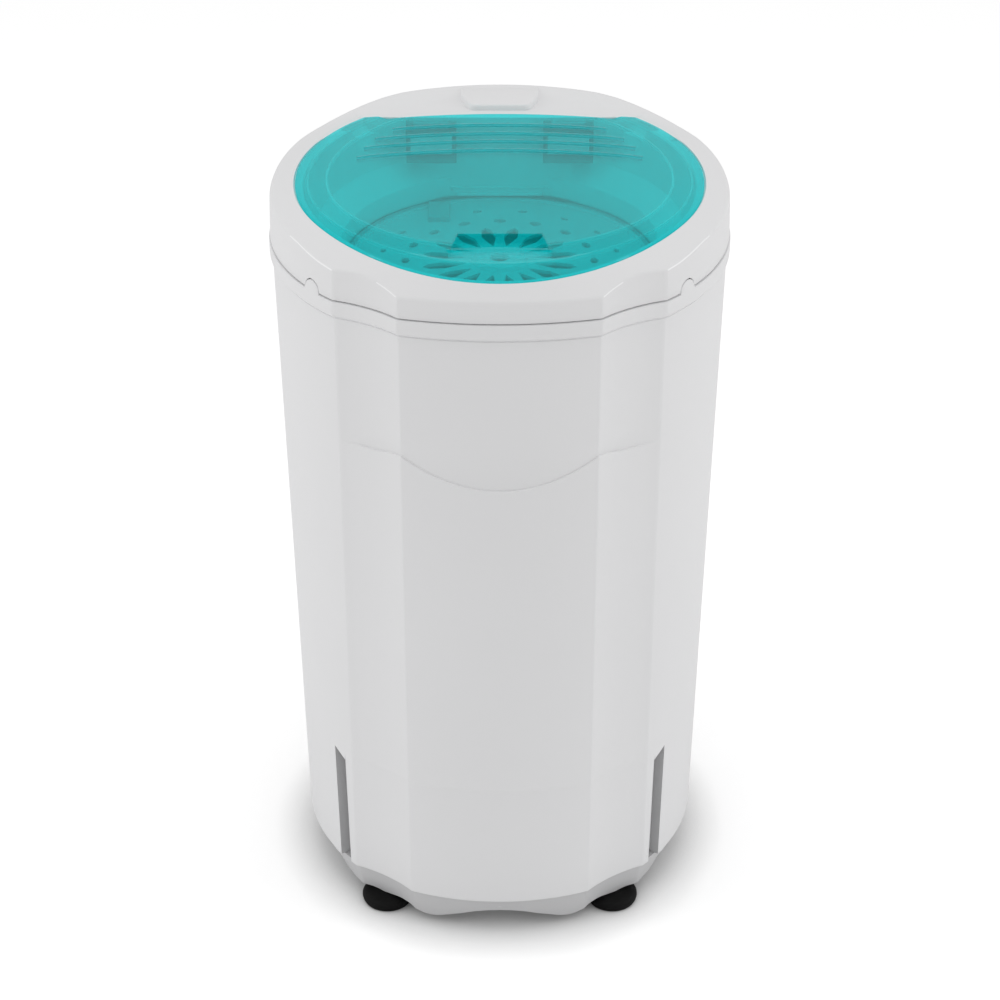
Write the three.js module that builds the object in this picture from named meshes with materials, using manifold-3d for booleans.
// Laundry spin dryer, built as it comes apart on a bench: cabinet, base pan, top cover, hinged see-through lid,
// outer tub, spinning basket with its retaining disc, suspended motor, lid-worked brake, feet and fasteners.
// Millimetres, +Z up, the front facing -Y. The sizes below count from the basket's axis, at floor level.
import * as THREE from "three";
import { mergeVertices } from "three/addons/utils/BufferGeometryUtils.js";
import Module from "manifold-3d";

const wasm = await Module();
wasm.setup();

// ---------------------------------------------------------------- driving dimensions
const gap = 0.3; // between pieces that touch
const runningGap = 1.2; // round the lid and the spinning pieces

// Cabinet: its plan is a circle with two shallow flutes and a flatter panel at the front.
const cabinetBottom = 36;
const seamHeight = 610;
const cabinetWall = 2.8;
const bandHeight = 15;
const bandProud = 2.4;
const sideRadiusTop = 188.6;
const sideRadiusBottom = 176.6;
const frontDepthTop = 178;
const frontDepthBottom = 171.9;
const innerRidgeRadiusTop = 185.6;
const innerRidgeRadiusBottom = 175.1;
const innerRidgeAngleTop = 25.2;
const innerRidgeAngleBottom = 26.6;
const outerRidgeAngleTop = 43.8;
const outerRidgeAngleBottom = 47;
const fluteDepth = 3.6;
const creaseLow = 461;
const creaseRise = 25;
const creaseStep = 0.8;
const toeLineHeight = 158;
const toeLineStep = 0.5;
const slotAngle = 51.6;
const slotWidth = 19;
const slotDepth = 9;
const slotHeight = 122;
const slotTopSlant = 12;
const tabAngle = 51.5;
const tabRadius = 9.5;

// Base pan and feet.
const baseInset = 3.2;
const baseFloor = 29;
const baseThickness = 3;
const baseUpstand = 16;
const skirtWall = 2.5;
const skirtEdge = 24.5;
const toeDrop = 10.5;
const toeAngle = 20;
const toeSpread = 8;
const footCircle = 156.8;
const footAngle = 40.3;
const footRadius = 23;
const footShoulderRadius = 17;
const footNeckRadius = 9;
const footScrewRadius = 3;
const baseScrewAngles = [125, 180, 235];
const baseScrewHeight = 45;
const baseScrewRadius = 2;

// Top cover.
const coverWall = 2.8;
const lidRadius = 168;
const lidGap = 1.2;
const lidSeatWidth = 8;
const lidThickness = 2.6;
const cornerRelief = 2;
const deckFront = 124.2;
const deckRise = 47;
const deckFoot = 643.5;
const deckRadius = 167;
const crestRadius = 186.5;
const mouthRadius = 131;
const mouthHeight = 600;
const collarLength = 15;
const padOutline = [[22, 139], [28.5, 143.5], [34, 160], [36, 181]];
const padRise = 5.2;

// Lid.
const plateauRadius = 142;
const flangeCrease = { radius: 158, share: 0.36 };
const plateauRise = 50.5;
const lidRear = 118;
const rearBow = 7;
const rearMiddle = 120.5;
const notchHalfWidth = 97;
const lobeReach = 3;
const ribPositions = [96, 78, 61.5, 43];
const ribHeight = 1.3;
const ribWidth = 6.5;
const ribHalfLengths = [91, 105, 114, 119];
const gripFront = 143;
const gripRear = 117;
const gripHalfFront = 39;
const gripHalfRear = 33.5;
const gripDepth = 7;

// Hinges.
const hingeSpacing = 59;
const hingeWidth = 43;
const knuckleWidth = 29;
const hingeSetback = 3.5;
const hingeDrop = 6.4;
const pinRadius = 1.6;
const cheekRadius = 2.8;
const hingeBlockHeight = 29;

// Tub and basket.
const tubRadius = 150;
const tubWall = 2.5;
const tubBottom = 225;
const tubFlangeRadius = 166;
const drainCircle = 106;
const basketRadius = 130;
const basketWall = 1.6;
const basketBottom = 246;
const discRadius = 126;
const discThickness = 3;
const discTop = 580;
const petalCount = 16;
const petalInner = 28;
const petalOuter = 66;
const petalHalfWidth = 6;
const ovalRings = [
  { radius: 79, count: 16, length: 12, width: 7.5 },
  { radius: 100, count: 16, length: 9, width: 5 },
];
const holeRows = 4;
const holeColumns = 12;
const holeRadius = 5;
const shaftRadius = 8;
const hubRadius = 46;
const hubHeight = 58;
const nutRadius = 15;

// Motor, brake and suspension.
const plateHeight = 130;
const plateThickness = 3;
const plateRadius = 90;
const motorRadius = 60;
const motorClear = 16;
const springCircle = 122;
const springRadius = 13;
const springWire = 3;
const springCount = 3;
const bossHeight = 4;
const bufferHeight = 8;
const drumRadius = 40;
const drumHeight = 20;
const bellRadius = 60;
const bellTopRadius = 27;
const bellHeight = 62;
const bellWall = 3;
const bearingRadius = 17.5;
const bearingHeight = 12;
const brakeGap = 3;
const shoeThickness = 5;
const leverThickness = 5;
const leverWidth = 11;
const pivotCircle = 81;
const pivotAngle = 39.8;
const cableArm = [34, 16];
const cableRadius = 2.5;

// Fittings.
const plunger = { angle: 118, circle: 167.2, radius: 1.8 };
const switchSize = [26, 13, 18];
const switchInner = 164.4;
const outlet = { angle: 150, z: 66, radius: 11 };
const gland = { angle: 200, z: 66, radius: 7 };
const capacitor = { x: -112, y: 50, radius: 18, length: 62 };

// ---------------------------------------------------------------- materials
const finish = (color, roughness = 0.5, metalness = 0, opacity = 1) =>
  new THREE.MeshStandardMaterial({ color, roughness, metalness, opacity, transparent: opacity < 1 });
const whitePlastic = finish(0xe9e9e8, 0.4);
const clearTeal = finish(0x35b5b5, 0.12, 0, 0.55);
const innerPlastic = finish(0xdfe3e3, 0.5);
const blackRubber = finish(0x0b0b0b, 0.75);
const zincSteel = finish(0xb4b6b8, 0.35, 0.9);
const darkSteel = finish(0x55585c, 0.5, 0.8);
const copperBrown = finish(0x7b4a2a, 0.5, 0.5);
const brakeLining = finish(0x3b332c, 0.9);

// ---------------------------------------------------------------- geometry helpers
const rad = THREE.MathUtils.degToRad;
const mix = (a, b, t) => a + (b - a) * t;
const clamp01 = (t) => Math.min(1, Math.max(0, t));
const smooth = (t) => clamp01(t) ** 2 * (3 - 2 * clamp01(t));

// A point at a plan angle measured from the front, positive towards +X.
const polar = (radius, degrees) => [radius * Math.sin(rad(degrees)), -radius * Math.cos(rad(degrees))];

// Straight-line interpolation through [position, value] pairs.
function along(pairs, at) {
  for (let i = 1; i < pairs.length; i++) {
    const [x0, y0] = pairs[i - 1];
    const [x1, y1] = pairs[i];
    if (at <= x1) return mix(y0, y1, clamp01((at - x0) / (x1 - x0)));
  }
  return pairs.at(-1)[1];
}

function solid(geometry) {
  const bare = geometry.clone();
  bare.deleteAttribute("normal");
  bare.deleteAttribute("uv");
  const merged = mergeVertices(bare, 1e-4);
  return new wasm.Manifold(
    new wasm.Mesh({
      numProp: 3,
      vertProperties: new Float32Array(merged.attributes.position.array),
      triVerts: new Uint32Array(merged.index.array),
    }),
  );
}

function geometryOf(body) {
  const mesh = body.getMesh();
  const geometry = new THREE.BufferGeometry();
  geometry.setAttribute("position", new THREE.BufferAttribute(mesh.vertProperties, 3));
  geometry.setIndex(new THREE.BufferAttribute(mesh.triVerts, 1));
  const faceted = geometry.toNonIndexed();
  faceted.computeVertexNormals();
  return faceted;
}

// Skins closed loops that have the same number of points: rows run up the outside and down the inside of a shell.
function skin(rows, { shell = false } = {}) {
  const count = rows[0].length;
  const positions = rows.flat(2);
  const index = [];
  const band = (a, b) => {
    for (let i = 0; i < count; i++) {
      const j = (i + 1) % count;
      index.push(a * count + i, a * count + j, b * count + j, a * count + i, b * count + j, b * count + i);
    }
  };
  rows.slice(1).forEach((_, i) => band(i, i + 1));
  if (shell) band(rows.length - 1, 0);
  else {
    const middle = (row) => [0, 1, 2].map((k) => row.reduce((sum, p) => sum + p[k], 0) / count);
    const low = positions.length / 3;
    positions.push(...middle(rows[0]), ...middle(rows.at(-1)));
    const last = (rows.length - 1) * count;
    for (let i = 0; i < count; i++) {
      const j = (i + 1) % count;
      index.push(low, j, i, low + 1, last + i, last + j);
    }
  }
  const geometry = new THREE.BufferGeometry();
  geometry.setAttribute("position", new THREE.Float32BufferAttribute(positions, 3));
  geometry.setIndex(index);
  return geometry;
}

// A turned piece about the Z axis from [radius, z] points, given anticlockwise in the (radius, z) plane.
function turned(profile, sides = 48) {
  const points = [...profile];
  if (points[0][0] > 0) points.push(points[0]);
  const lathe = new THREE.LatheGeometry(points.map(([r, z]) => new THREE.Vector2(r, z)), sides);
  return lathe.rotateX(Math.PI / 2);
}

const rod = (radius, z0, z1, sides = 24) =>
  turned([[0, z0], [radius, z0], [radius, z1], [0, z1]], sides);
const ringOf = (inner, outer, z0, z1, sides = 32) =>
  turned([[inner, z0], [outer, z0], [outer, z1], [inner, z1]], sides);

// A rod pointing outwards at a plan angle, from one radius to another.
const radialRod = (radius, r0, r1, angle, z, sides = 24) =>
  turnedTo(rod(radius, r0, r1, sides).rotateX(Math.PI / 2), angle).translate(0, 0, z);

// A box from its low corner to its high corner.
function block(low, high) {
  const size = high.map((v, i) => v - low[i]);
  const box = new THREE.BoxGeometry(...size);
  return box.translate(...low.map((v, i) => v + size[i] / 2));
}

// A rod along X between two stations.
const crossRod = (radius, x0, x1, y, z, sides = 16) =>
  rod(radius, x0, x1, sides).rotateY(Math.PI / 2).translate(0, y, z);

// A flat outline in plan, lifted from z0 to z1.
function slab(outline, z0, z1) {
  const shape = new THREE.Shape(outline.map(([x, y]) => new THREE.Vector2(x, y)));
  return new THREE.ExtrudeGeometry(shape, { depth: z1 - z0, bevelEnabled: false }).translate(0, 0, z0);
}

const turnedTo = (geometry, degrees) => geometry.rotateZ(rad(degrees));
const joined = (...geometries) => geometries.map(solid).reduce((a, b) => a.add(b));
const cutFrom = (body, ...tools) => tools.map(solid).reduce((a, b) => a.subtract(b), body);

const dryer = new THREE.Group();

function add(name, geometry, material) {
  const shown = geometry instanceof THREE.BufferGeometry ? geometry : geometryOf(geometry);
  const mesh = new THREE.Mesh(shown, material);
  mesh.name = name;
  dryer.add(mesh);
  return mesh;
}

// ---------------------------------------------------------------- the plan of the cabinet
const frontSteps = 4;
const fluteSteps = 4;
const sideSteps = 13;
const deckSteps = 5;
const bandBottom = seamHeight - bandHeight;

// Where the lid's round hole meets the straight front of the rear deck, as a share of the way round the side.
const deckCornerAngle = 180 - (Math.acos(deckFront / (lidRadius + lidGap + cornerRelief)) * 180) / Math.PI;
const deckCorner = (deckCornerAngle - outerRidgeAngleTop) / (180 - outerRidgeAngleTop);

// Half of the columns that every cabinet-shaped loop has: front panel, flute, then the round side and back.
const halfColumns = [
  ...Array.from({ length: frontSteps }, (_, i) => ({ part: "front", t: i / frontSteps })),
  ...Array.from({ length: fluteSteps }, (_, i) => ({ part: "flute", t: i / fluteSteps })),
  ...Array.from({ length: sideSteps }, (_, i) => ({ part: "side", t: (deckCorner * i) / sideSteps })),
  ...Array.from({ length: deckSteps + 1 }, (_, i) => i / deckSteps)
    .map((share) => ({ part: "side", t: mix(deckCorner, 1, share) })),
];
const columns = [
  ...halfColumns.map((column) => ({ ...column, sign: 1 })),
  ...halfColumns.slice(1, -1).reverse().map((column) => ({ ...column, sign: -1 })),
];

// The plan point of a column at a height, grown outwards by so much.
function planPoint({ part, t, sign }, z, grow) {
  const share = clamp01((z - cabinetBottom) / (bandBottom - cabinetBottom));
  const side = mix(sideRadiusBottom, sideRadiusTop, share) + grow;
  const front = mix(frontDepthBottom, frontDepthTop, share) + grow;
  const ridgeRadius = mix(innerRidgeRadiusBottom, innerRidgeRadiusTop, share) + grow;
  const ridge = polar(ridgeRadius, mix(innerRidgeAngleBottom, innerRidgeAngleTop, share));
  const outerAngle = mix(outerRidgeAngleBottom, outerRidgeAngleTop, share);
  if (part === "front") {
    const sagitta = front + ridge[1];
    const radius = (ridge[0] ** 2 + sagitta ** 2) / (2 * sagitta);
    const x = ridge[0] * t;
    return [sign * x, -front + radius - Math.sqrt(radius ** 2 - x ** 2)];
  }
  if (part === "flute") {
    const outer = polar(side, outerAngle);
    const chord = [outer[0] - ridge[0], outer[1] - ridge[1]];
    const length = Math.hypot(...chord);
    const bow = 4 * t * (1 - t) * fluteDepth;
    return [
      sign * (ridge[0] + chord[0] * t - (bow * chord[1]) / length),
      ridge[1] + chord[1] * t + (bow * chord[0]) / length,
    ];
  }
  const [x, y] = polar(side, mix(outerAngle, 180, t));
  return [sign * x, y];
}

// A closed loop round the cabinet: height and growth may follow the column.
function planLoop(height, grow = 0) {
  return columns.map((column) => {
    const z = typeof height === "function" ? height(column) : height;
    const g = typeof grow === "function" ? grow(column) : grow;
    return [...planPoint(column, z, g), z];
  });
}

const columnAngle = (column, z) => {
  const [x, y] = planPoint(column, z, 0);
  return (Math.atan2(Math.abs(x), -y) * 180) / Math.PI;
};

// ---------------------------------------------------------------- cabinet
// The front's curved crease: low in the middle, rising to the flutes, where it runs level.
function creaseHeight({ part, t }) {
  if (part === "front") return creaseLow + creaseRise * t ** 2;
  return creaseLow + creaseRise - 4 * (part === "flute" ? smooth(2 * t) : 1);
}
const onFront = ({ part, t }) => (part === "front" ? 1 : part === "flute" ? 1 - smooth((t - 0.6) / 0.4) : 0);

// A cutter shaped as the corner slot: open outwards, its top slanted down towards the front.
function slotCutter(side, extraWidth, extraDepth, low) {
  const half = slotWidth / 2 + extraWidth;
  const reach = sideRadiusTop + 20;
  const bottomRadius = sideRadiusBottom - slotDepth - extraDepth;
  const top = cabinetBottom + slotHeight + extraWidth;
  const corners = (x, slant) => [
    [x, -reach, low],
    [x, -bottomRadius, low],
    [x, -bottomRadius, top - slant],
    [x, -reach, top - slant],
  ];
  const prism = skin([corners(-half, side > 0 ? slotTopSlant : 0), corners(half, side > 0 ? 0 : slotTopSlant)]);
  return turnedTo(prism, side * slotAngle);
}

function cabinet() {
  const below = (column) => creaseStep * onFront(column);
  const rows = [
    planLoop(cabinetBottom, (c) => below(c) - toeLineStep * onFront(c)),
    planLoop(toeLineHeight - 1.5, (c) => below(c) - toeLineStep * onFront(c)),
    planLoop(toeLineHeight, below),
    planLoop((c) => creaseHeight(c) - 1.5, below),
    planLoop(creaseHeight),
    planLoop(bandBottom - 1.2),
    planLoop(bandBottom + 1, bandProud),
    planLoop(seamHeight - 0.8, bandProud),
    planLoop(seamHeight, bandProud - 0.8),
    planLoop(seamHeight, -cabinetWall),
    planLoop(creaseLow, -cabinetWall),
    planLoop(cabinetBottom, -cabinetWall - 0.6),
  ];
  let body = solid(skin(rows, { shell: true }));
  const hollow = solid(skin([planLoop(cabinetBottom, -0.4), planLoop(seamHeight - bandHeight, -0.4)]));
  for (const side of [-1, 1]) {
    const pocket = solid(slotCutter(side, cabinetWall, cabinetWall, cabinetBottom)).intersect(hollow);
    body = body.add(pocket);
    body = cutFrom(body, slotCutter(side, 0, 0, cabinetBottom - 5));
  }
  const wallAbove = solid(
    skin(
      [
        planLoop(seamHeight - 3, bandProud - 0.8),
        planLoop(seamHeight + tabRadius + 2, bandProud - 0.8),
        planLoop(seamHeight + tabRadius + 2, bandProud - 0.8 - coverWall + gap),
        planLoop(seamHeight - 3, bandProud - 0.8 - coverWall + gap),
      ],
      { shell: true },
    ),
  );
  for (const angle of tabAngles) body = body.add(wallAbove.intersect(solid(tabDisc(angle, tabRadius))));
  return cutFrom(
    body,
    radialRod(outlet.radius + gap, 160, 200, outlet.angle, outlet.z),
    radialRod(gland.radius + gap, 160, 200, gland.angle, gland.z),
    ...baseScrewAngles.map((angle) => radialRod(baseScrewRadius + gap, 160, 200, angle, baseScrewHeight, 10)),
  );
}

const tabAngles = [tabAngle, 180 - tabAngle, 180 + tabAngle, -tabAngle];

// A round bar through the wall at a plan angle, on the seam.
const tabDisc = (angle, radius) => radialRod(radius, 172, sideRadiusTop + 20, angle, seamHeight, 18);

// ---------------------------------------------------------------- base pan and feet
// The skirt's lower edge rises over the feet and in the middle, and drops between them.
function skirtBottom(column) {
  const angle = columnAngle(column, cabinetBottom);
  const fromToe = Math.min(Math.abs(angle - toeAngle), Math.abs(180 - angle - toeAngle));
  return skirtEdge - toeDrop * Math.exp(-((fromToe / toeSpread) ** 2));
}

function basePan() {
  const edge = -baseInset - 4;
  const rows = [
    planLoop(skirtBottom, edge),
    planLoop(cabinetBottom - gap, -baseInset - 0.7),
    planLoop(cabinetBottom + baseUpstand, -baseInset - 0.7),
    planLoop(cabinetBottom + baseUpstand, -baseInset - 0.7 - skirtWall),
    planLoop(baseFloor, -baseInset - 0.7 - skirtWall),
    planLoop(skirtBottom, edge - skirtWall),
  ];
  const floor = skin([
    planLoop(baseFloor - baseThickness, -baseInset - 2.5),
    planLoop(baseFloor, -baseInset - 2.5),
  ]);
  let pan = joined(skin(rows, { shell: true }), floor);
  for (const angle of springAngles)
    pan = pan.add(solid(springRod(springRadius + 4, baseFloor - 1, baseFloor + bossHeight, 12, angle)));
  const cuts = [];
  for (const side of [-1, 1])
    cuts.push(slotCutter(side, cabinetWall + gap, cabinetWall + gap, cabinetBottom - gap));
  for (const [x, y] of footSpots)
    cuts.push(rod(footScrewRadius + gap, 0, baseFloor + 40, 10).translate(x, y, 0));
  for (const [x, y] of footSpots)
    cuts.push(rod(footNeckRadius + 1, 0, baseFloor - baseThickness, 10).translate(x, y, 0));
  for (const angle of baseScrewAngles)
    cuts.push(radialRod(baseScrewRadius + gap, sideRadiusBottom - 20, sideRadiusBottom, angle, baseScrewHeight, 10));
  for (const angle of springAngles)
    cuts.push(springRod(boltRadius + gap, baseFloor - 1 - gap, plateHeight, 10, angle));
  return cutFrom(pan, ...cuts);
}

const onCircle = (radius, angle) => [...polar(radius, angle), 0];
const springRod = (radius, z0, z1, sides, angle) =>
  rod(radius, z0, z1, sides).translate(...onCircle(springCircle, angle));
const springAngles = Array.from({ length: springCount }, (_, i) => 180 + (360 / springCount) * i);
const footSpots = [footAngle, 180 - footAngle, 180 + footAngle, -footAngle].map((a) => polar(footCircle, a));
const footTop = baseFloor - baseThickness - gap;

function foot([x, y]) {
  const profile = [
    [footScrewRadius + gap, 2],
    [footScrewRadius + gap + 4, 0],
    [footRadius - 2, 0],
    [footRadius, 6],
    [footRadius - 2.5, 11],
    [footShoulderRadius, 15],
    [footShoulderRadius, skirtEdge - 1.4],
    [footNeckRadius, skirtEdge - 1.4],
    [footNeckRadius, footTop],
    [footScrewRadius + gap, footTop],
  ];
  return turned(profile, 18).translate(x, y, 0);
}

function footScrew([x, y]) {
  const profile = [[0, 4], [footScrewRadius, 4], [footScrewRadius, baseFloor + gap], [7, baseFloor + gap]];
  profile.push([7, baseFloor + 5], [0, baseFloor + 5]);
  return turned(profile, 12).translate(x, y, 0);
}

// A screw that ties the cabinet to the pan's upstand.
function baseScrew(angle) {
  const wall = sideRadiusBottom + 0.6;
  const profile = [
    [0, wall - 12], [baseScrewRadius, wall - 12], [baseScrewRadius, wall],
    [4, wall], [3.4, wall + 1.6], [0, wall + 2.4],
  ];
  return turnedTo(turned(profile, 12).rotateX(Math.PI / 2), angle).translate(0, 0, baseScrewHeight);
}

// ---------------------------------------------------------------- heights of the top
// The lid's edge is nearly level and falls away over the front.
const edgeHeight = (y) => seamHeight + 45 + 0.03 * y - 0.00116 * Math.max(0, -80 - y) ** 2;
const plateauHeight = (x, y) => seamHeight + plateauRise + 0.012 * y - 1.5 * (x / 100) ** 2;
const deckHeight = seamHeight + deckRise;

// The outer edge of the cover, above the seam, by plan angle from the front.
const coverCrease = [
  [0, 17.8], [25, 18], [32, 24.5], [38, 27.5], [44, 26], [58, 33], [90, 37],
  [106, 41], [117, 43.8], [126, 44.7], [134, 46.6], [141, 49], [147, 51], [153, 52], [165, 51.4], [180, 51.2],
];
// How bluntly the cover rounds from that edge to the lid: 1 is a straight slope.
const coverCrown = [[0, 1], [44, 0.95], [70, 0.6], [110, 0.5], [180, 0.35]];
const planAngle = (x, y) => (Math.atan2(Math.abs(x), -y) * 180) / Math.PI;
// The lid's hole is a little wider at the rear corners, where the lid's lobes swing.
const holeReach = (angle) => lidRadius + lidGap + cornerRelief * smooth((angle - 124) / 7);

// The edge of the hole for the lid: a circle, cut off straight in front of the rear deck.
function holeEdge(column, shrink = 0, setback = 0) {
  const [x, y] = planPoint(column, seamHeight, 0);
  const reach = Math.hypot(x, y);
  const circle = holeReach(planAngle(x, y)) - shrink;
  const straight = y > 0 ? ((deckFront + setback) * reach) / y : Infinity;
  return [Math.min(circle, straight) / reach, x, y, straight < circle + 0.01];
}

function holeLoop(z, shrink = 0, setback = 0) {
  return columns.map((column) => {
    const [scale, x, y, onDeck] = holeEdge(column, shrink, setback);
    return [x * scale, y * scale, z(x * scale, y * scale, onDeck)];
  });
}

// The rim is level with the lid, but at the rear corners it drops just below, so that the lid lies over it.
const rimHeight = (x, y, onDeck) =>
  onDeck ? deckHeight : mix(edgeHeight(y), deckHeight - 2, smooth((planAngle(x, y) - 112) / 13));

function coverRow(t) {
  return columns.map((column) => {
    const [scale, x, y, onDeck] = holeEdge(column);
    const angle = columnAngle(column, seamHeight);
    const outer = planPoint(column, seamHeight, bandProud - 2);
    const inner = [x * scale, y * scale];
    const low = seamHeight + along(coverCrease, angle);
    const high = rimHeight(inner[0], inner[1], onDeck);
    if (onDeck) {
      // Behind the lid the crest runs on round the rear, and the deck lies lower inside it.
      const far = Math.hypot(...outer);
      const near = Math.hypot(...inner);
      const crest = (far - crestRadius) / (far - near);
      const foot = (far - Math.max(deckRadius, near + 2)) / (far - near);
      const share = along([[0, 0], [0.08, crest], [0.28, foot], [1, 1]], t);
      const z = along([[0, low], [crest, low + 0.4], [foot, high], [1, high]], share);
      return [mix(outer[0], inner[0], share), mix(outer[1], inner[1], share), z];
    }
    const z = mix(low, high, t ** along(coverCrown, angle));
    return [mix(outer[0], inner[0], t), mix(outer[1], inner[1], t), z];
  });
}

// A level loop: a circle, cut off straight at the deck's front wall.
const roundLoop = (radius, z, setback = 0) => columns.map((column) => {
  const [x, y] = planPoint(column, seamHeight, 0);
  const reach = Math.hypot(x, y);
  const straight = y > 0 ? ((deckFront + setback) * reach) / y : Infinity;
  const scale = Math.min(radius, straight) / reach;
  return [x * scale, y * scale, z];
});

// The ledge under the lid's edge: it drops away behind the hinge line, where the opening lid swings down.
const seatHeight = (x, y, onDeck) =>
  onDeck ? deckFoot : edgeHeight(y) - lidThickness - gap - 12 * smooth((y - 100) / 10);

const underSeat = (x, y, onDeck) => (onDeck ? deckHeight - coverWall - 0.6 : seatHeight(x, y, false) - coverWall);

function topCover() {
  const under = (row, drop) => row.map(([x, y, z]) => [x, y, z - drop]);
  const insideWall = bandProud - 1 - coverWall;
  const rows = [
    planLoop(seamHeight + gap, bandProud - 1),
    coverRow(0),
    coverRow(0.08),
    coverRow(0.28),
    coverRow(0.97),
    holeLoop((x, y, onDeck) => rimHeight(x, y, onDeck) - 0.6),
    holeLoop(seatHeight),
    holeLoop((x, y, onDeck) => seatHeight(x, y, onDeck) - (onDeck ? 3 : 0), lidSeatWidth),
    roundLoop(mouthRadius + 21, mouthHeight + 15),
    roundLoop(mouthRadius, mouthHeight),
    roundLoop(mouthRadius, mouthHeight - collarLength),
    roundLoop(mouthRadius + coverWall, mouthHeight - collarLength, coverWall),
    roundLoop(mouthRadius + coverWall, mouthHeight, coverWall),
    roundLoop(mouthRadius + 21 + coverWall, mouthHeight + 13, coverWall),
    holeLoop(underSeat, lidSeatWidth - coverWall, coverWall),
    under(coverRow(0.6), coverWall + 0.8),
    under(coverRow(0.25), coverWall + 0.5),
    planLoop(seamHeight + 12, insideWall),
    planLoop(seamHeight + gap, insideWall),
  ];
  let cover = solid(skin(rows, { shell: true }));
  const padLoop = (inset, z) => {
    const right = padOutline.map(([x, y], i) => [x - inset, y + (i === 3 ? -inset : inset), z]);
    return [...right, ...right.map(([x, y]) => [-x, y, z]).reverse()];
  };
  const pad = skin([padLoop(0, deckHeight - 1), padLoop(0.4, deckHeight + 2), padLoop(2.2, deckHeight + padRise)]);
  cover = cover.add(solid(pad));
  const cuts = tabAngles.map((angle) => tabDisc(angle, tabRadius + gap));
  cuts.push(rod(plunger.radius + gap, seamHeight, deckHeight + 20, 16).translate(...plungerSpot));
  return cutFrom(cover, ...cuts);
}

// ---------------------------------------------------------------- lid
const hinge = { y: lidRear - hingeSetback, z: seamHeight + plateauRise + 0.012 * lidRear - 0.5 - hingeDrop };

// The lid's outline: the circle, its two rear lobes, the notches and the straight rear edge between them.
function lidOutline(shrink) {
  const radius = lidRadius - shrink;
  const lobeY = lidRear + lobeReach - shrink;
  const lobeAngle = 180 - (Math.acos(Math.min(1, lobeY / radius)) * 180) / Math.PI;
  const arcSteps = 22;
  const half = Array.from({ length: arcSteps + 1 }, (_, i) => polar(radius, (lobeAngle * i) / arcSteps));
  half.push([notchHalfWidth + 8, lobeY]);
  for (const x of [notchHalfWidth, hingeSpacing, 0])
    half.push([x, rearMiddle - rearBow * (x / 100) ** 2 - shrink]);
  return [...half, ...half.slice(1, -1).reverse().map(([x, y]) => [-x, y])];
}

// The lid's top surface: a level plateau, with a flange round it that falls gently and then more steeply.
function lidTop([x, y]) {
  const reach = Math.hypot(x, y);
  const flat = plateauHeight(x, y);
  if (reach <= plateauRadius) return flat;
  const { radius, share } = flangeCrease;
  const fall = along([[plateauRadius, 0], [radius, share], [lidRadius, 1]], reach);
  return mix(flat, Math.min(edgeHeight(y), flat), fall);
}

function lid() {
  const outline = lidOutline(0);
  const steps = [0.55, 0.75, plateauRadius / lidRadius, flangeCrease.radius / lidRadius, 1];
  const atShare = (share, drop) =>
    outline.map(([x, y]) => [x * share, y * share, lidTop([x * share, y * share]) - drop]);
  const top = steps.map((share) => atShare(share, 0));
  const bottom = steps.filter((_, i) => i !== 1).map((share) => atShare(share, lidThickness));
  let body = solid(skin([...bottom, ...top.reverse()]));
  ribPositions.forEach((middle, i) => {
    const stations = [-1, -0.5, 0, 0.5, 1].map((s) => s * ribHalfLengths[i]);
    const section = (x) => {
      const y = middle - rearBow * (x / 100) ** 2;
      const z = plateauHeight(x, y);
      const half = ribWidth / 2;
      const lift = Math.abs(x) === ribHalfLengths[i] ? 0.2 : ribHeight;
      const crown = half - 1.5;
      return [[x, y - half, z - 1], [x, y + half, z - 1], [x, y + crown, z + lift], [x, y - crown, z + lift]];
    };
    body = body.add(solid(skin(stations.map(section))));
  });
  const gripLoop = (grow, z) => [
    [-gripHalfFront - grow, -gripFront - grow, z],
    [gripHalfFront + grow, -gripFront - grow, z],
    [gripHalfRear + grow, -gripRear + grow, z],
    [-gripHalfRear - grow, -gripRear + grow, z],
  ];
  const gripFloor = plateauHeight(0, -gripFront) - gripDepth;
  const gripRim = plateauHeight(0, -gripRear);
  body = body.add(solid(skin([gripLoop(0.6, gripFloor - 2), gripLoop(1.9, gripRim - lidThickness / 2)])));
  body = cutFrom(body, skin([gripLoop(-1.6, gripFloor), gripLoop(0, gripRim + 8)]));
  for (const side of [-1, 1]) {
    const x0 = side * hingeSpacing - knuckleWidth / 2;
    const knuckle = crossRod(pinRadius + 2.9, x0, x0 + knuckleWidth, hinge.y, hinge.z);
    const plateUnder = plateauHeight(hingeSpacing, lidRear) - lidThickness / 2;
    const web = block([x0, hinge.y - 4.5, hinge.z], [x0 + knuckleWidth, hinge.y + 2.5, plateUnder]);
    body = body.add(solid(knuckle)).add(solid(web));
  }
  return cutFrom(body, hingeRod(-1, pinRadius + gap, 0), hingeRod(1, pinRadius + gap, 0));
}

// ---------------------------------------------------------------- hinges
function hingeBracket(side) {
  const middle = side * hingeSpacing;
  const half = hingeWidth / 2;
  const back = deckFront - gap;
  const front = hinge.y - cheekRadius - 2;
  const blockTop = hinge.z - 5.5;
  const blockFoot = blockTop - hingeBlockHeight;
  const bracket = joined(block([middle - half, front, blockFoot], [middle + half, back, blockTop]));
  const inside = knuckleWidth / 2 + gap;
  let body = bracket;
  for (const [x0, x1] of [[middle - half, middle - inside], [middle + inside, middle + half]]) {
    body = body.add(solid(crossRod(cheekRadius, x0, x1, hinge.y, hinge.z)));
    const cheek = block([x0, hinge.y - cheekRadius, blockTop - 1], [x1, hinge.y + cheekRadius, hinge.z]);
    body = body.add(solid(cheek));
  }
  return cutFrom(body, crossRod(pinRadius + 0.05, middle - half - 1, middle + half + 1, hinge.y, hinge.z));
}

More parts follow.
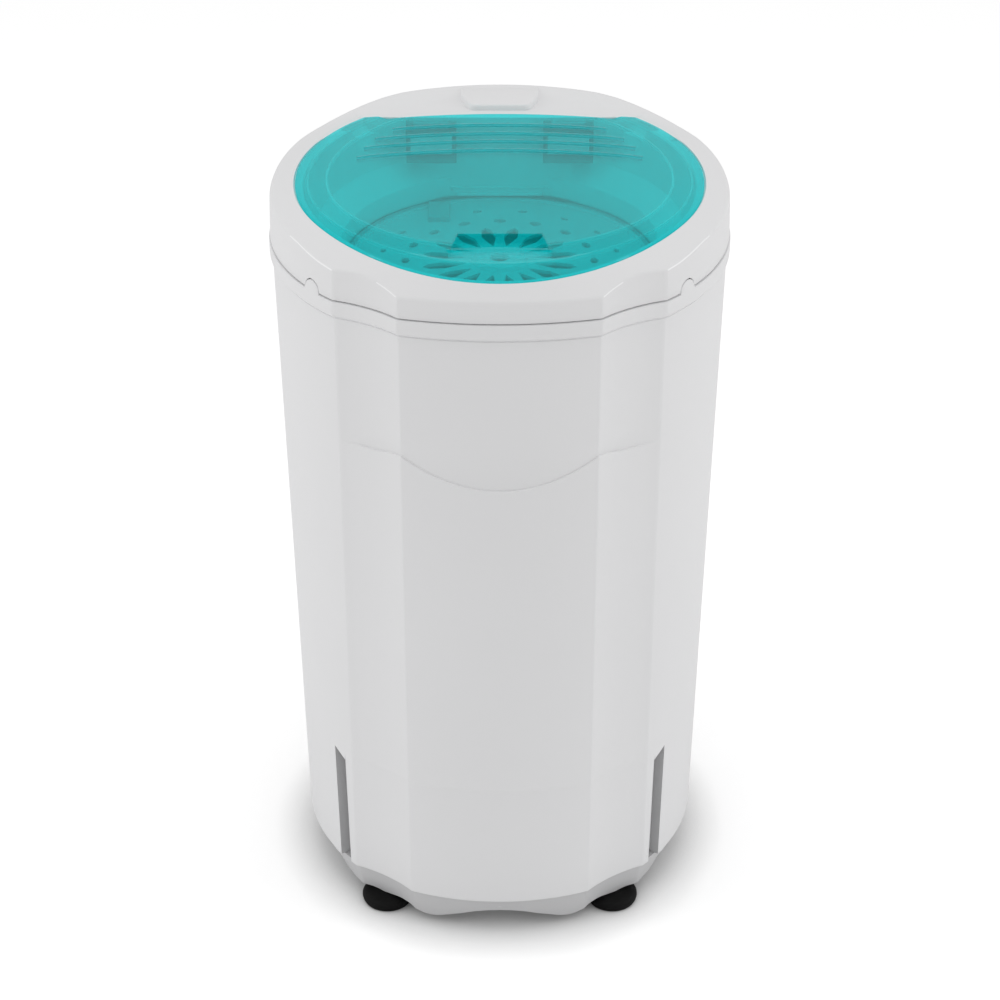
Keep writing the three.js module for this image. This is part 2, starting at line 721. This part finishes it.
// A rod on the hinge's axis, across one bracket, short of its ends by a little.
function hingeRod(side, radius, short) {
  const middle = side * hingeSpacing;
  const half = hingeWidth / 2 - short;
  return crossRod(radius, middle - half, middle + half, hinge.y, hinge.z);
}

const hingePin = (side) => hingeRod(side, pinRadius, 0.5);

// ---------------------------------------------------------------- outer tub
const tubTop = mouthHeight - 11;
const tubDrainAngle = 150;
const tubHole = bellTopRadius + 26;

function outerTub() {
  const inner = tubRadius - tubWall;
  const profile = [
    [tubHole, tubBottom],
    [tubRadius - 12, tubBottom],
    [tubRadius, tubBottom + 12],
    [tubRadius, tubTop - tubWall],
    [tubFlangeRadius, tubTop - tubWall],
    [tubFlangeRadius, tubTop],
    [inner, tubTop],
    [inner, tubBottom + 13],
    [tubRadius - 13, tubBottom + tubWall],
    [tubHole, tubBottom + tubWall],
  ];
  const spigot = rod(drain.radius, tubBottom - 14, tubBottom + 1, 20).translate(drain.x, drain.y, 0);
  const bore = rod(drain.radius - 2, tubBottom - 20, tubBottom + 10, 20).translate(drain.x, drain.y, 0);
  return cutFrom(joined(turned(profile, 40), spigot), bore);
}

const [drainX, drainY] = polar(drainCircle, tubDrainAngle);
const drain = { x: drainX, y: drainY, radius: 12 };

// A ring that carries the tub's flange on the cabinet's wall, below the top cover.
function tubCarrier() {
  const low = tubTop - tubWall - gap - 4;
  const high = tubTop - tubWall - gap;
  const outer = skin([planLoop(low, -cabinetWall - 2 * gap), planLoop(high, -cabinetWall - 2 * gap)]);
  const cableHole = rod(cableRadius + 2, low - 1, high + 1, 12).translate(...onCircle(cableCircle, cableAngle));
  return cutFrom(solid(outer), rod(tubRadius + 2 * gap, low - 1, high + 1, 40), cableHole);
}

// ---------------------------------------------------------------- basket
const hubTop = basketBottom + hubHeight;
const basketTop = discTop + 1.5;
const rimDepth = 6;

function basket() {
  const inner = basketRadius - basketWall;
  const profile = [
    [shaftRadius + 14, basketBottom],
    [basketRadius - 8, basketBottom],
    [basketRadius, basketBottom + 8],
    [basketRadius, basketTop],
    [discRadius + gap, basketTop],
    [discRadius + gap, basketTop - rimDepth],
    [inner, basketTop - rimDepth - 2],
    [inner, basketBottom + 9],
    [basketRadius - 9, basketBottom + basketWall],
    [shaftRadius + 14, basketBottom + basketWall],
  ];
  const cutters = [];
  const pitch = (basketTop - basketBottom - 40) / holeRows;
  for (let row = 0; row < holeRows; row++) {
    for (let column = 0; column < holeColumns; column++) {
      const hole = rod(holeRadius, basketRadius - 6, basketRadius + 4, 4).rotateX(Math.PI / 2);
      const angle = (360 / holeColumns) * (column + (row % 2) / 2);
      cutters.push(turnedTo(hole, angle).translate(0, 0, basketBottom + 30 + pitch * row));
    }
  }
  return cutFrom(solid(turned(profile, 48)), ...cutters);
}

// The boss that carries the basket: flanges above and below its floor, with a cone over the shaft.
function basketHub() {
  const profile = [
    [shaftRadius + 0.1, basketBottom - 12],
    [shaftRadius + 12, basketBottom - 12],
    [shaftRadius + 12, basketBottom - gap - 2],
    [shaftRadius + 13.6, basketBottom + basketWall + gap],
    [hubRadius, basketBottom + basketWall + gap],
    [hubRadius - 6, basketBottom + 12],
    [26, hubTop - 8],
    [22, hubTop],
    [shaftRadius + 0.1, hubTop],
  ];
  return turned(profile, 24);
}

const hubNut = () => turned([
  [0, shaftTop + gap], [shaftRadius, shaftTop + gap], [shaftRadius, hubTop + gap],
  [nutRadius, hubTop + gap], [nutRadius - 3, hubTop + 12], [0, hubTop + 14],
], 16);

// A slot or hole in the disc, given by its half length and half width, lying along a radius.
function discSlot(radius, halfLength, halfWidth, angle, point = 0) {
  const outline = [];
  const corners = point ? 8 : 6;
  for (let i = 0; i < corners; i++) {
    const a = (i / corners) * Math.PI * 2;
    const width = halfWidth * Math.sin(a) * (1 - point * Math.max(0, -Math.cos(a)));
    outline.push([width, -(radius + halfLength * Math.cos(a))]);
  }
  return turnedTo(slab(outline, discTop - discThickness - 4, discTop + 4), angle);
}

function retainingDisc() {
  const low = discTop - discThickness;
  const profile = [
    [8, low], [discRadius, low], [discRadius, discTop + 1.5], [discRadius - 2.5, discTop + 1.5],
    [discRadius - 3.5, discTop], [24, discTop], [20, discTop + 3], [8, discTop + 3],
  ];
  const cuts = [];
  const half = (petalOuter - petalInner) / 2;
  for (let i = 0; i < petalCount; i++)
    cuts.push(discSlot(petalInner + half, half, petalHalfWidth, (360 / petalCount) * (i + 0.5), 0.75));
  for (const { radius, count, length, width } of ovalRings)
    for (let i = 0; i < count; i++) {
      const angle = (360 / count) * (i + (radius > petalOuter + 20 ? 0.5 : 0));
      cuts.push(turnedTo(discSlot(0, width / 2, length / 2, 0).translate(0, -radius, 0), angle));
    }
  const boss = block([-59.5, 94.5, discTop - 1], [-44.5, 109.5, discTop + 4]);
  return cutFrom(joined(turned(profile, 48), boss), ...cuts);
}

// ---------------------------------------------------------------- shaft, motor and bearings
const plateTop = plateHeight + plateThickness;
const bellTop = plateTop + gap + bellHeight;
const motorBottom = baseFloor + motorClear;
const shaftTop = hubTop - 4;
const drumBottom = plateTop + 9;

const driveShaft = () => rod(shaftRadius, motorBottom + 8, shaftTop, 24);

function bearing(z) {
  return ringOf(shaftRadius + 0.1, bearingRadius, z, z + bearingHeight, 24);
}

// The bell over the brake drum: it carries the upper bearing and the seal, with windows for the brake.
function bearingBell() {
  const low = plateTop + gap;
  const bearingSeat = bellTop - bearingHeight - 4;
  const profile = [
    [bellRadius, low],
    [bellRadius + 12, low],
    [bellRadius + 12, low + 4],
    [bellRadius + bellWall, low + 4],
    [bellRadius + bellWall, low + 30],
    [bellTopRadius, bearingSeat],
    [bellTopRadius, bellTop],
    [bearingRadius + gap, bellTop],
    [bearingRadius + gap, bearingSeat],
    [shaftRadius + runningGap, bearingSeat],
    [shaftRadius + runningGap, bearingSeat - 3],
    [bellTopRadius - 4, bearingSeat - 3],
    [bellRadius, low + 29],
  ];
  const windows = [0, 120, 240].map((angle) =>
    turnedTo(block([-42, -bellRadius - 20, low + 5], [42, -34, low + 27]), angle));
  return cutFrom(solid(turned(profile, 24)), ...windows);
}

function shaftSeal() {
  const top = tubBottom - gap;
  const low = bellTop - 10;
  const inner = bellTopRadius + gap;
  const profile = [
    [inner, low], [inner + 3, low], [inner + 5, low + 8], [inner + 12, low + 4], [inner + 16, low + 14],
    [tubHole + 8, top - 2.5], [tubHole + 8, top], [tubHole - 6, top], [inner + 13, low + 17], [inner + 10, low + 9],
    [inner + 4, low + 12], [inner, low + 10],
  ];
  return turned(profile, 24);
}

function motorPlate() {
  let plate = solid(ringOf(shaftRadius + 12, plateRadius, plateHeight, plateTop, 28));
  for (const angle of springAngles) {
    const arm = block([-springRadius - 4, -springCircle, plateHeight], [springRadius + 4, -60, plateTop]);
    plate = plate.add(solid(turnedTo(arm, angle)));
    plate = plate.add(solid(springRod(springRadius + 4, plateHeight, plateTop, 16, angle)));
  }
  const boltHoles = springAngles.map((angle) => springRod(boltRadius + gap, 0, plateTop + 9, 12, angle));
  return cutFrom(plate, ...boltHoles);
}

const motorTop = plateHeight - gap;
const rotorRadius = motorRadius - 16;

function motorHousing() {
  const wall = 2.5;
  const profile = [
    [shaftRadius + runningGap, motorBottom],
    [motorRadius - 8, motorBottom],
    [motorRadius, motorBottom + 8],
    [motorRadius, motorTop],
    [shaftRadius + 13, motorTop],
    [shaftRadius + 13, motorTop - wall],
    [motorRadius - wall, motorTop - wall],
    [motorRadius - wall, motorBottom + 9],
    [motorRadius - 9, motorBottom + wall],
    [shaftRadius + runningGap, motorBottom + wall],
  ];
  return turned(profile, 24);
}

const motorStator = () =>
  ringOf(rotorRadius + runningGap, motorRadius - 2.5 - gap, motorBottom + 24, motorTop - 22, 24);
const motorRotor = () => ringOf(shaftRadius + gap, rotorRadius, motorBottom + 22, motorTop - 20, 24);
const brakeDrum = () => turned([
  [shaftRadius + gap, drumBottom], [drumRadius, drumBottom], [drumRadius, drumBottom + drumHeight],
  [drumRadius - 4, drumBottom + drumHeight], [drumRadius - 5, drumBottom + 4], [shaftRadius + 8, drumBottom + 4],
  [shaftRadius + 7, drumBottom + drumHeight], [shaftRadius + gap, drumBottom + drumHeight],
], 24);

// ---------------------------------------------------------------- suspension
const boltRadius = 3.5;
const bufferLow = baseFloor + bossHeight + gap;
const springLow = bufferLow + bufferHeight + gap;
const springTop = plateHeight - gap;

// A coil spring: a round wire swept along a helix with ground, closed-off ends.
class Helix extends THREE.Curve {
  constructor(radius, low, high, turns) {
    super();
    Object.assign(this, { radius, low, high, turns });
  }

  getPoint(t, target = new THREE.Vector3()) {
    const a = t * this.turns * Math.PI * 2;
    return target.set(this.radius * Math.cos(a), this.radius * Math.sin(a), mix(this.low, this.high, t));
  }
}

function suspensionSpring(angle) {
  const turns = 4;
  const wire = springWire / 2;
  const path = new Helix(springRadius - wire, springLow + wire + 0.2, springTop - wire - 0.2, turns);
  const circle = new THREE.Shape(Array.from({ length: 5 }, (_, i) => {
    const a = (i / 5) * Math.PI * 2;
    return new THREE.Vector2(wire * Math.cos(a), wire * Math.sin(a));
  }));
  const coil = new THREE.ExtrudeGeometry(circle, { steps: turns * 11, bevelEnabled: false, extrudePath: path });
  return coil.translate(...onCircle(springCircle, angle));
}

// The bolt that holds the motor plate down on its spring, headed below and nutted above.
function suspensionBolt(angle) {
  const profile = [
    [0, baseFloor - 1], [boltRadius, baseFloor - 1], [boltRadius, plateTop + gap],
    [7, plateTop + gap], [7, plateTop + 6], [boltRadius, plateTop + 6],
    [boltRadius, plateTop + 12], [0, plateTop + 12],
  ];
  return turned(profile, 10).translate(...onCircle(springCircle, angle));
}

const rubberBuffer = (angle) =>
  ringOf(boltRadius + gap, springRadius + 2, bufferLow, bufferLow + bufferHeight, 16).translate(
    ...onCircle(springCircle, angle),
  );

// ---------------------------------------------------------------- brake
const leverLow = drumBottom + 6;
const leverTop = leverLow + leverThickness;
const pivot = polar(pivotCircle, pivotAngle);
const shoeOuter = drumRadius + brakeGap + shoeThickness;
const cableEnd = [pivot[0] + cableArm[0], pivot[1] + cableArm[1]];
const cableCircle = 175;
const cableAngle = 132;

// A flat bar with round ends between two plan points.
function bar(p, q, width, z0, z1) {
  const angle = Math.atan2(q[1] - p[1], q[0] - p[0]);
  const cap = (centre, turn) => Array.from({ length: 7 }, (_, i) => {
    const a = angle + turn + (i / 6) * Math.PI;
    return [centre[0] + (width / 2) * Math.cos(a), centre[1] + (width / 2) * Math.sin(a)];
  });
  return slab([...cap(p, Math.PI / 2), ...cap(q, -Math.PI / 2)], z0, z1);
}

function brakeLever() {
  const shoeEnd = [0, -shoeOuter];
  const body = joined(
    bar(pivot, shoeEnd, leverWidth, leverLow, leverTop),
    bar(pivot, cableEnd, leverWidth - 2, leverLow, leverTop),
  );
  const bore = rod(pinStud + gap, leverLow - 1, leverTop + 1, 20).translate(...pivot, 0);
  return cutFrom(body, bore, rod(shoeOuter + gap, leverLow - 1, leverTop + 1, 32));
}

const pinStud = 4;

function brakeShoe() {
  const inner = drumRadius + brakeGap;
  const low = drumBottom + 2;
  const ring = solid(ringOf(inner, shoeOuter, low, drumBottom + drumHeight - 3, 32));
  return ring.intersect(solid(block([-12, -shoeOuter - 2, low - 1], [12, -inner * 0.8, drumBottom + drumHeight])));
}

const brakePivot = () => turned([
  [0, plateTop + gap], [8, plateTop + gap], [7, plateTop + 4], [7, leverLow - gap], [pinStud, leverLow - gap],
  [pinStud, leverTop + 7], [7, leverTop + 7], [7, leverTop + 10], [0, leverTop + 10],
], 14).translate(...pivot, 0);

const brakeSpring = () =>
  ringOf(pinStud + gap, pinStud + 2.5, leverTop + gap, leverTop + 6.6, 12).translate(...pivot, 0);

// The cable from the lid's hinge runs down between tub and cabinet, then in to the lever.
function brakeCable() {
  const wall = polar(cableCircle, cableAngle);
  const route = [
    [cableEnd[0], cableEnd[1], leverTop + gap + cableRadius],
    [cableEnd[0] + 12, cableEnd[1] + 8, leverTop + 8],
    [122, -12, leverTop + 18],
    [142, 40, tubBottom - 30],
    [wall[0] + 4, wall[1] - 22, tubBottom + 10],
    [wall[0], wall[1], tubBottom + 60],
    [wall[0], wall[1], tubTop - 60],
    [wall[0], wall[1], tubTop + 8],
    [wall[0] - 12, wall[1] + 12, seamHeight + 14],
    [hingeSpacing + 12, deckFront + 14, hinge.z - 14],
    [hingeSpacing, deckFront + coverWall + gap + cableRadius, hinge.z - 10],
  ].map((p) => new THREE.Vector3(...p));
  const circle = new THREE.Shape(Array.from({ length: 6 }, (_, i) => {
    const a = (i / 6) * Math.PI * 2;
    return new THREE.Vector2(cableRadius * Math.cos(a), cableRadius * Math.sin(a));
  }));
  const extrudePath = new THREE.CatmullRomCurve3(route, false, "centripetal");
  return new THREE.ExtrudeGeometry(circle, { steps: 38, bevelEnabled: false, extrudePath });
}

// ---------------------------------------------------------------- lid switch
const plungerSpot = onCircle(plunger.circle, plunger.angle);
const seatAtPlunger = edgeHeight(plungerSpot[1]) - lidThickness - gap;
const switchTop = seatAtPlunger - coverWall - 2;

const switchPlunger = () =>
  rod(plunger.radius, switchTop - 6, seatAtPlunger - gap, 16).translate(...plungerSpot);

function lidSwitch() {
  const [w, d, h] = switchSize;
  const box = block([-w / 2, -d - switchInner, switchTop - h], [w / 2, -switchInner, switchTop]);
  const bore = rod(plunger.radius + gap, switchTop - 6 - gap, switchTop + 1, 16).translate(0, -plunger.circle, 0);
  return turnedTo(geometryOf(cutFrom(solid(box), bore)), plunger.angle);
}

// ---------------------------------------------------------------- capacitor, drain and cord inlet
function capacitorCan() {
  const { x, y, radius, length } = capacitor;
  return rod(radius, -length / 2, length / 2, 28).rotateX(Math.PI / 2).translate(x, y, baseFloor + 3 + radius);
}

function capacitorClip() {
  const { x, y, radius } = capacitor;
  const middle = baseFloor + 3 + radius;
  const band = ringOf(radius + gap, radius + 2, -7, 7, 28).rotateX(Math.PI / 2).translate(x, y, middle);
  const sole = block([x - radius - 8, y - 7, baseFloor + gap], [x + radius + 8, y + 7, baseFloor + 3 - gap]);
  return joined(band, sole);
}

function drainHose() {
  const wallPoint = polar(outletInner - gap, outlet.angle);
  const route = [
    [drain.x, drain.y, tubBottom - 14 - gap],
    [drain.x, drain.y, tubBottom - 60],
    [drain.x, drain.y, outlet.z + 50],
    [...polar(drainCircle + 8, outlet.angle), outlet.z + 14],
    [...polar(outletInner - 16, outlet.angle), outlet.z],
    [...wallPoint, outlet.z],
  ].map((p) => new THREE.Vector3(...p));
  const ringShape = (radius) => Array.from({ length: 10 }, (_, i) => {
    const a = (i / 10) * Math.PI * 2;
    return new THREE.Vector2(radius * Math.cos(a), radius * Math.sin(a));
  });
  const shape = new THREE.Shape(ringShape(drain.radius));
  shape.holes.push(new THREE.Path(ringShape(drain.radius - 2.5)));
  const extrudePath = new THREE.CatmullRomCurve3(route, false, "centripetal");
  return new THREE.ExtrudeGeometry(shape, { steps: 13, bevelEnabled: false, extrudePath });
}

const outletInner = sideRadiusBottom - 12;
const wallRadiusAt = (z) => mix(sideRadiusBottom, sideRadiusTop, (z - cabinetBottom) / (bandBottom - cabinetBottom));

// A fitting through the cabinet's wall: a neck through the hole, with a flange outside.
function wallFitting({ angle, z, radius }, inner, proud, bore) {
  const wall = wallRadiusAt(z) + 1;
  const profile = [
    [bore, inner], [radius, inner], [radius, wall], [radius + 4, wall], [radius + 4, wall + 2],
    [radius - 1, wall + 3], [radius - 2, wall + proud], [bore, wall + proud],
  ];
  return turnedTo(turned(profile, 16).rotateX(Math.PI / 2), angle).translate(0, 0, z);
}

// ---------------------------------------------------------------- assembly
add("cabinet", cabinet(), whitePlastic);
add("base_pan", basePan(), whitePlastic);
footSpots.forEach((spot, i) => {
  add(`foot_${i + 1}`, foot(spot), blackRubber);
  add(`foot_screw_${i + 1}`, footScrew(spot), zincSteel);
});

baseScrewAngles.forEach((angle, i) => add(`base_screw_${i + 1}`, baseScrew(angle), zincSteel));

add("top_cover", topCover(), whitePlastic);
for (const [side, name] of [[-1, "left"], [1, "right"]]) {
  add(`hinge_bracket_${name}`, hingeBracket(side), whitePlastic);
  add(`hinge_pin_${name}`, hingePin(side), zincSteel);
}
add("lid", lid(), clearTeal);
add("lid_switch", lidSwitch(), darkSteel);
add("switch_plunger", switchPlunger(), innerPlastic);

add("tub_carrier", tubCarrier(), innerPlastic);
add("outer_tub", outerTub(), innerPlastic);
add("drain_hose", drainHose(), blackRubber);
add("drain_outlet", wallFitting(outlet, outletInner, 6, outlet.radius - 4), blackRubber);
add("cord_gland", wallFitting(gland, wallRadiusAt(gland.z) - 8, 8, 3.5), blackRubber);

add("basket", basket(), zincSteel);
add("basket_hub", basketHub(), innerPlastic);
add("hub_nut", hubNut(), innerPlastic);
add("retaining_disc", retainingDisc(), clearTeal);
add("drive_shaft", driveShaft(), zincSteel);
add("brake_drum", brakeDrum(), darkSteel);
add("motor_rotor", motorRotor(), darkSteel);

add("motor_plate", motorPlate(), zincSteel);
add("motor_housing", motorHousing(), darkSteel);
add("motor_stator", motorStator(), copperBrown);
add("bearing_bell", bearingBell(), zincSteel);
add("upper_bearing", bearing(bellTop - bearingHeight - 3.7), zincSteel);
add("lower_bearing", bearing(motorBottom + 2.5 + gap), zincSteel);
add("shaft_seal", shaftSeal(), blackRubber);
springAngles.forEach((angle, i) => {
  add(`suspension_spring_${i + 1}`, suspensionSpring(angle), darkSteel);
  add(`suspension_bolt_${i + 1}`, suspensionBolt(angle), zincSteel);
  add(`rubber_buffer_${i + 1}`, rubberBuffer(angle), blackRubber);
});

add("brake_lever", brakeLever(), zincSteel);
add("brake_shoe", brakeShoe(), brakeLining);
add("brake_pivot", brakePivot(), darkSteel);
add("brake_spring", brakeSpring(), darkSteel);
add("brake_cable", brakeCable(), blackRubber);
add("capacitor", capacitorCan(), innerPlastic);
add("capacitor_clip", capacitorClip(), zincSteel);

// The origin goes under the middle of the overall plan.
dryer.position.y = (frontDepthTop - sideRadiusTop) / 2;

export default dryer;
